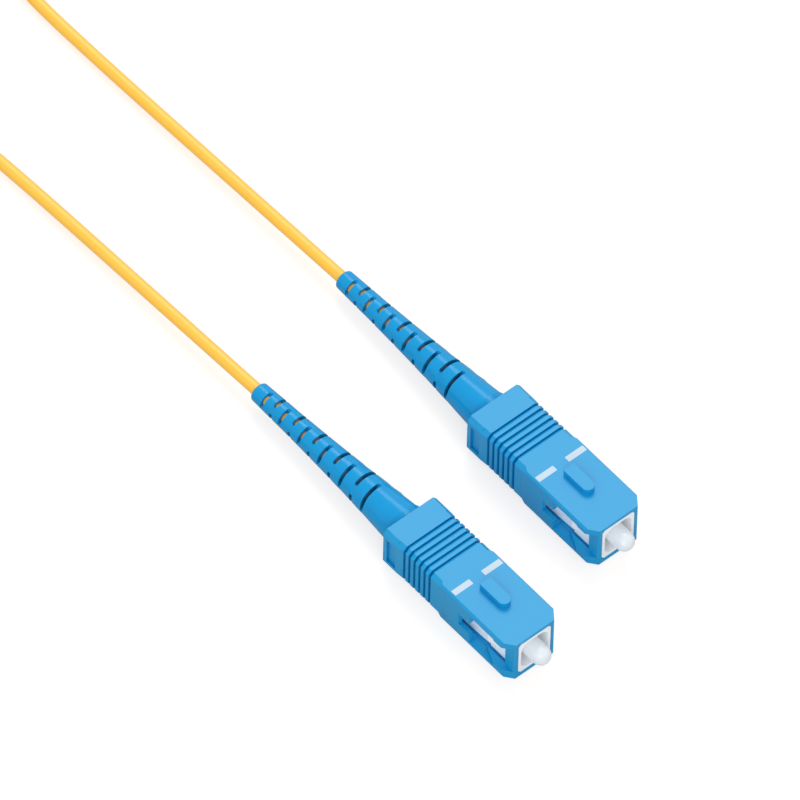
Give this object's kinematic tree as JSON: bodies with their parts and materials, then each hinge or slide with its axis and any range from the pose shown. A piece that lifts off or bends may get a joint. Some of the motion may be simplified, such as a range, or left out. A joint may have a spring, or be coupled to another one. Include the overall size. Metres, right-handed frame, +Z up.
{
  "type": "fibre optic patch cable",
  "caption": "Round fibre optic cable with a square push-pull plug, dust cap and tapered slotted boot on each end; the spare length lies coiled in a tie.",
  "frame": {"origin": "on the surface the plugs lie on, at the middle of the two plugs and boots without the cable", "axes": "+X along the plugs towards the ferrules, +Y across from the near plug to the far one, +Z up"},
  "size_m": [0.1675, 0.0305, 0.0083],
  "materials": {
    "grip_blue": "moulded, satin gloss",
    "boot_blue": "soft satin",
    "frame_white": "moulded gloss",
    "cap_clear": "translucent gloss",
    "ceramic_white": "polished",
    "nickel": "nickel plated",
    "crimp_metal": "satin",
    "spring_steel": "drawn wire",
    "buffer_white": "smooth",
    "jacket_yellow": "smooth satin",
    "tie_dark": "woven"
  },
  "bodies": {
    "cord": {"near_plug_frame": "frame_white", "near_spring": "spring_steel", "near_rear_body": "nickel", "near_crimp_sleeve": "crimp_metal", "near_buffered_fibre": "buffer_white", "near_boot": "boot_blue", "near_cable_end": "jacket_yellow", "far_plug_frame": "frame_white", "far_spring": "spring_steel", "far_rear_body": "nickel", "far_crimp_sleeve": "crimp_metal", "far_buffered_fibre": "buffer_white", "far_boot": "boot_blue", "far_cable_end": "jacket_yellow", "cable_run_near": "jacket_yellow", "cable_run_far": "jacket_yellow", "cable_coil": "jacket_yellow", "coil_tie": "tie_dark"},
    "near_grip": {"near_grip": "grip_blue"},
    "near_ferrule": {"near_ferrule": "ceramic_white", "near_ferrule_flange": "nickel"},
    "near_cap": {"near_dust_cap": "cap_clear"},
    "far_grip": {"far_grip": "grip_blue"},
    "far_ferrule": {"far_ferrule": "ceramic_white", "far_ferrule_flange": "nickel"},
    "far_cap": {"far_dust_cap": "cap_clear"}
  },
  "joints": [
    {"name": "near_grip_pull", "type": "slide", "parent": "cord", "child": "near_grip", "axis": [-1, 0, 0], "range_m": [0, 0.0016]},
    {"name": "near_ferrule_float", "type": "slide", "parent": "cord", "child": "near_ferrule", "axis": [-1, 0, 0], "range_m": [0, 0.0012], "stiffness_N_per_m": 2500, "springref_m": -0.0025, "deforming": ["near_spring", "near_buffered_fibre"]},
    {"name": "near_cap_pull", "type": "slide", "parent": "near_ferrule", "child": "near_cap", "axis": [1, 0, 0], "range_m": [0, 0.012]},
    {"name": "far_grip_pull", "type": "slide", "parent": "cord", "child": "far_grip", "axis": [-1, 0, 0], "range_m": [0, 0.0016]},
    {"name": "far_ferrule_float", "type": "slide", "parent": "cord", "child": "far_ferrule", "axis": [-1, 0, 0], "range_m": [0, 0.0012], "stiffness_N_per_m": 2500, "springref_m": -0.0025, "deforming": ["far_spring", "far_buffered_fibre"]},
    {"name": "far_cap_pull", "type": "slide", "parent": "far_ferrule", "child": "far_cap", "axis": [1, 0, 0], "range_m": [0, 0.012]}
  ]
}
